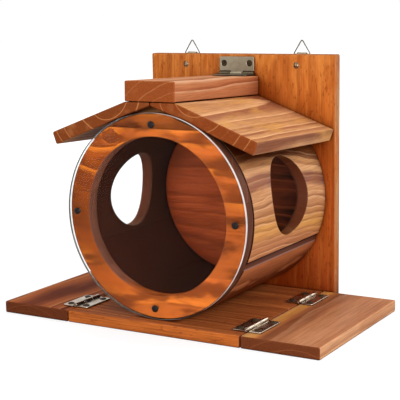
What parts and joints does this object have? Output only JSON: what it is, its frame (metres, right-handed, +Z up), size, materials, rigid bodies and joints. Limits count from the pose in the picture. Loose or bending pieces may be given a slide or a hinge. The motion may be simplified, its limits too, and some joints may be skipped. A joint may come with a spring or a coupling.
{
  "type": "squirrel feeder box",
  "caption": "Round wooden barrel feeder box with a clear front, side entry holes, a hinged gable roof, folding base wings and a hanging back board.",
  "frame": {"origin": "middle of the base's underside, on the middle board, halfway between its front edge and the back board's face", "axes": "+X to the right wing, +Y to the back board, +Z up"},
  "size_m": [0.3276, 0.1861, 0.2525],
  "materials": {
    "base_wood": "stained softwood, satin varnish, red-brown with dark grain",
    "wing_wood": "stained softwood, satin varnish, brown with dark bands",
    "back_wood": "stained softwood, satin varnish, orange-brown, upright grain",
    "ring_wood": "stained softwood, satin varnish, orange with red-brown patches",
    "wall_wood": "scorched softwood, satin, tan with purple-brown grain",
    "stave_wood": "stained softwood, satin, plain brown",
    "disc_wood": "stained softwood, satin, dark red-brown",
    "roof_wood": "scorched softwood, satin, tan-brown stripes",
    "ridge_wood": "scorched softwood, satin, brown stripes",
    "clear_acrylic": "clear, polished, bright cut edge",
    "hinge_bronze": "antique bronze plate, worn",
    "hinge_nickel": "antique nickel plate, satin",
    "hanger_wire": "drawn wire, dull zinc",
    "screw_black": "black oxide, slightly glossy"
  },
  "bodies": {
    "box": {"base_middle_board": "base_wood", "back_board": "back_wood", "back_screw_upper_left": "screw_black", "back_screw_upper_right": "screw_black", "back_screw_lower_left": "screw_black", "back_screw_lower_right": "screw_black", "wing_hinge_left_front_inner_leaf": "hinge_bronze", "wing_hinge_left_front_inner_screw_1": "screw_black", "wing_hinge_left_front_inner_screw_2": "screw_black", "wing_hinge_left_rear_inner_leaf": "hinge_bronze", "wing_hinge_left_rear_inner_screw_1": "screw_black", "wing_hinge_left_rear_inner_screw_2": "screw_black", "wing_hinge_right_front_inner_leaf": "hinge_bronze", "wing_hinge_right_front_inner_screw_1": "screw_black", "wing_hinge_right_front_inner_screw_2": "screw_black", "wing_hinge_right_rear_inner_leaf": "hinge_bronze", "wing_hinge_right_rear_inner_screw_1": "screw_black", "wing_hinge_right_rear_inner_screw_2": "screw_black", "barrel_back_disc": "disc_wood", "barrel_side_wall_right": "wall_wood", "barrel_side_wall_left": "wall_wood", "barrel_lower_stave_right": "stave_wood", "barrel_lower_stave_left": "stave_wood", "barrel_bottom_stave": "stave_wood", "front_ring": "ring_wood", "window_disc": "clear_acrylic", "window_screw_top": "screw_black", "window_screw_left": "screw_black", "window_screw_bottom": "screw_black", "window_screw_right": "screw_black", "roof_hinge_back_leaf": "hinge_nickel", "roof_hinge_back_screw_1": "screw_black", "roof_hinge_back_screw_2": "screw_black", "hanger_strap_left": "hinge_nickel", "hanger_strap_right": "hinge_nickel", "hanger_screw_left": "hinge_nickel", "hanger_screw_right": "hinge_nickel"},
    "roof": {"roof_board_left": "roof_wood", "roof_board_right": "roof_wood", "ridge_block": "ridge_wood", "roof_hinge_lid_leaf": "hinge_nickel", "roof_hinge_lid_screw_1": "screw_black", "roof_hinge_lid_screw_2": "screw_black"},
    "wing_left": {"base_wing_left": "wing_wood", "wing_hinge_left_front_outer_leaf": "hinge_bronze", "wing_hinge_left_front_outer_screw_1": "screw_black", "wing_hinge_left_front_outer_screw_2": "screw_black", "wing_hinge_left_rear_outer_leaf": "hinge_bronze", "wing_hinge_left_rear_outer_screw_1": "screw_black", "wing_hinge_left_rear_outer_screw_2": "screw_black"},
    "wing_right": {"base_wing_right": "wing_wood", "wing_hinge_right_front_outer_leaf": "hinge_bronze", "wing_hinge_right_front_outer_screw_1": "screw_black", "wing_hinge_right_front_outer_screw_2": "screw_black", "wing_hinge_right_rear_outer_leaf": "hinge_bronze", "wing_hinge_right_rear_outer_screw_1": "screw_black", "wing_hinge_right_rear_outer_screw_2": "screw_black"},
    "hanger_left": {"hanger_loop_left": "hanger_wire"},
    "hanger_right": {"hanger_loop_right": "hanger_wire"}
  },
  "joints": [
    {"name": "roof_lift", "type": "hinge", "parent": "box", "child": "roof", "pos_m": [-0.0024, 0.0833, 0.2194], "axis": [-1, 0, 0], "range_deg": [0, 88]},
    {"name": "wing_left_fold", "type": "hinge", "parent": "box", "child": "wing_left", "pos_m": [-0.09, 0, 0.0132], "axis": [0, 1, 0], "range_deg": [0, 90]},
    {"name": "wing_right_fold", "type": "hinge", "parent": "box", "child": "wing_right", "pos_m": [0.09, 0, 0.0132], "axis": [0, -1, 0], "range_deg": [0, 90]},
    {"name": "hanger_left_swing", "type": "hinge", "parent": "box", "child": "hanger_left", "pos_m": [-0.061, 0.0987, 0.2378], "axis": [1, 0, 0], "range_deg": [-160, 50]},
    {"name": "hanger_right_swing", "type": "hinge", "parent": "box", "child": "hanger_right", "pos_m": [0.061, 0.0987, 0.2378], "axis": [1, 0, 0], "range_deg": [-160, 50]}
  ]
}
